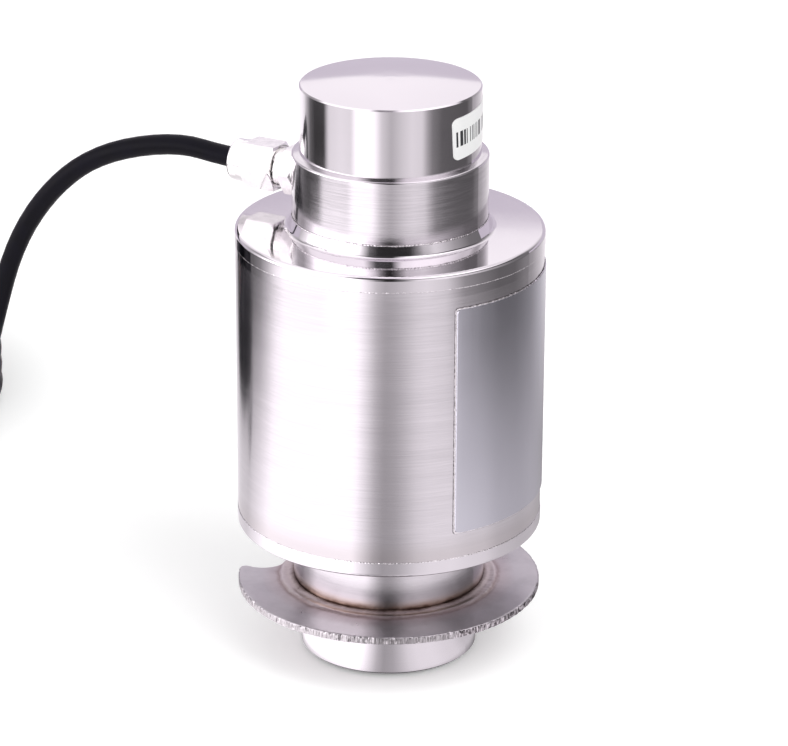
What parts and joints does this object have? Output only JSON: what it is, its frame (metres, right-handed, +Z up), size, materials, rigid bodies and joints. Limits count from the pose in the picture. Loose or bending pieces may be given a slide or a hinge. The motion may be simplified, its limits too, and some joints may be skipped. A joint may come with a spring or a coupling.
{
  "type": "column load cell",
  "caption": "Stainless column load cell with domed ends, welded housing, notched anti-rotation plate, side cable gland and coiled signal cable.",
  "frame": {"origin": "centre of the foot's contact face, on the column's axis", "axes": "+Z up the column from foot to head; -X along the cable gland; +X to the middle of the name plate"},
  "size_m": [0.3361, 0.1629, 0.15],
  "materials": {
    "column_steel": "fine turned, polished ends",
    "cover_steel": "mirror polished, laser welded",
    "tube_steel": "satin, brushed round",
    "disc_steel": "matte pickled sheet with heat tint at its weld",
    "plate_steel": "fine satin sheet, welded edge",
    "label_film": "white film with plain bars",
    "gland_nickel": "bright nickel plate",
    "seal_rubber": "moulded rubber",
    "cage_plastic": "moulded nylon",
    "cable_jacket": "black jacket, soft sheen",
    "tie_plastic": "black nylon",
    "sleeve_plastic": "shrink sleeve",
    "core_red": "core insulation with tinned end",
    "core_black": "core insulation with tinned end",
    "core_green": "core insulation with tinned end",
    "core_white": "core insulation with tinned end",
    "board_laminate": "glass fibre board, solder mask",
    "spacer_brass": "plain turned brass",
    "screw_steel": "plain steel",
    "resistor_body": "moulded body",
    "gauge_foil": "amber backing with foil grid",
    "terminal_film": "solder terminals on film",
    "wire_insulation": "thin enamelled and sleeved wire"
  },
  "bodies": {
    "root": {"load_column": "column_steel", "top_cover": "cover_steel", "bottom_cover": "cover_steel", "housing_tube": "tube_steel", "anti_rotation_plate": "disc_steel", "name_plate": "plate_steel", "bar_label": "label_film", "gland_boss": "gland_nickel", "gland_body": "gland_nickel", "gland_nut": "gland_nickel", "gland_seal_ring": "seal_rubber", "gland_seal": "seal_rubber", "gland_cage": "cage_plastic", "cable_run": "cable_jacket", "cable_coil": "cable_jacket", "cable_ties": "tie_plastic", "cable_end_sleeve": "sleeve_plastic", "core_red": "core_red", "core_black": "core_black", "core_green": "core_green", "core_white": "core_white", "circuit_board": "board_laminate", "board_spacers": "spacer_brass", "board_screws": "screw_steel", "trim_resistors": "resistor_body", "axial_gauges": "gauge_foil", "cross_gauges": "gauge_foil", "terminal_pads": "terminal_film", "gauge_wires": "wire_insulation", "inner_leads": "wire_insulation"}
  },
  "joints": []
}
